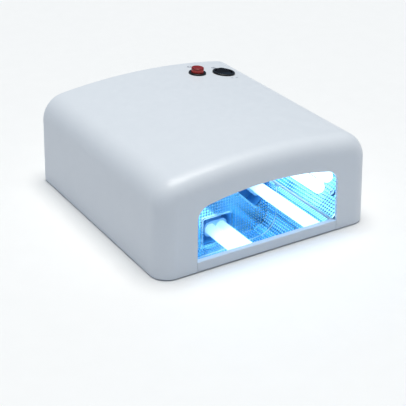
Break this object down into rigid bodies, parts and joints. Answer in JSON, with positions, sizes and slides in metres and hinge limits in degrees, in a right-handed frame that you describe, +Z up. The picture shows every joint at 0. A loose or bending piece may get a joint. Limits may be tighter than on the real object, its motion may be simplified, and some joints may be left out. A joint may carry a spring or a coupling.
{
  "type": "uv led nail lamp",
  "caption": "Table-top nail curing lamp: arched hood, lit tubes in an embossed reflector tunnel, slide-out mirror tray, push-button and rocker on top.",
  "frame": {"origin": "on the table, under the middle of the body, cord gland included", "axes": "+X to the right as seen by the user, +Y towards the back, +Z up; the hand opening faces -Y"},
  "size_m": [0.22, 0.238, 0.0989],
  "materials": {
    "white_shell": "smooth satin white, moulded",
    "white_base": "fine-grained white, moulded",
    "white_tray": "smooth satin white, moulded",
    "tray_mirror": "mirror sheet",
    "embossed_aluminium": "bright aluminium sheet with a fine embossed diamond pattern",
    "tube_glass": "frosted phosphor-coated glass, lit ultraviolet blue",
    "tube_base_plastic": "smooth pale moulding",
    "brass": "plain brass",
    "holder_plastic": "pale moulding",
    "black_plastic": "smooth black moulding",
    "red_cap": "smooth red moulding",
    "paddle_black": "satin black moulding",
    "steel": "plated steel",
    "rubber": "soft black rubber",
    "gland_plastic": "black flexible moulding",
    "board": "brown laminated board",
    "ferrite": "dark grey ferrite",
    "winding": "enamelled copper wire",
    "capacitor_can": "sleeved can",
    "film_capacitor": "dipped resin",
    "chip_black": "moulded black epoxy",
    "fuse_glass": "clear glass",
    "relay_case": "blue moulded case",
    "lead_insulation": "white PVC insulation"
  },
  "bodies": {
    "housing": {"ballast_board": "board", "base_plate": "white_base", "base_screws": "steel", "board_screws": "steel", "button_housing": "black_plastic", "button_nut": "black_plastic", "button_spring": "steel", "button_terminals": "brass", "choke_cores": "ferrite", "choke_windings": "winding", "contact_sleeves": "brass", "cord_gland": "gland_plastic", "film_capacitors": "film_capacitor", "front_left_foot": "rubber", "front_right_foot": "rubber", "lamp_leads": "lead_insulation", "left_side_lamp_holder": "holder_plastic", "left_top_lamp_holder": "holder_plastic", "mains_fuse": "fuse_glass", "power_transistors": "chip_black", "rear_left_foot": "rubber", "rear_reflector": "embossed_aluminium", "rear_right_foot": "rubber", "reflector_screws": "steel", "right_side_lamp_holder": "holder_plastic", "right_top_lamp_holder": "holder_plastic", "rocker_housing": "black_plastic", "rocker_pin": "steel", "rocker_terminals": "brass", "smoothing_capacitors": "capacitor_can", "switch_leads": "lead_insulation", "timer_chip": "chip_black", "timer_relay": "relay_case", "top_shell": "white_shell", "tunnel_liner": "embossed_aluminium", "tunnel_screws": "steel"},
    "left_side_lamp": {"left_side_tube": "tube_glass", "left_side_tube_base": "tube_base_plastic", "left_side_tube_pins": "brass"},
    "left_top_lamp": {"left_top_tube": "tube_glass", "left_top_tube_base": "tube_base_plastic", "left_top_tube_pins": "brass"},
    "right_top_lamp": {"right_top_tube": "tube_glass", "right_top_tube_base": "tube_base_plastic", "right_top_tube_pins": "brass"},
    "right_side_lamp": {"right_side_tube": "tube_glass", "right_side_tube_base": "tube_base_plastic", "right_side_tube_pins": "brass"},
    "tray": {"slide_tray": "white_tray", "tray_mirror": "tray_mirror"},
    "start_button": {"button_cap": "red_cap", "button_retainer": "steel"},
    "timer_rocker": {"rocker_paddle": "paddle_black"}
  },
  "joints": [
    {"name": "tray_slide", "type": "slide", "parent": "housing", "child": "tray", "axis": [0, -1, 0], "range_m": [0, 0.14]},
    {"name": "start_button_press", "type": "slide", "parent": "housing", "child": "start_button", "axis": [-0.0783, 0, -0.9969], "range_m": [0, 0.0025], "stiffness_N_per_m": 600, "springref_m": -0.002, "deforming": ["button_spring"]},
    {"name": "timer_rocker_tilt", "type": "hinge", "parent": "housing", "child": "timer_rocker", "pos_m": [0.07251, 0.0724, 0.08705], "axis": [-0.9921, 0, 0.1251], "range_deg": [0, 20]},
    {"name": "left_side_lamp_pull", "type": "slide", "parent": "housing", "child": "left_side_lamp", "axis": [0, -1, 0], "range_m": [0, 0.0215]},
    {"name": "left_top_lamp_pull", "type": "slide", "parent": "housing", "child": "left_top_lamp", "axis": [0, -1, 0], "range_m": [0, 0.0215]},
    {"name": "right_top_lamp_pull", "type": "slide", "parent": "housing", "child": "right_top_lamp", "axis": [0, -1, 0], "range_m": [0, 0.0215]},
    {"name": "right_side_lamp_pull", "type": "slide", "parent": "housing", "child": "right_side_lamp", "axis": [0, -1, 0], "range_m": [0, 0.0215]}
  ]
}
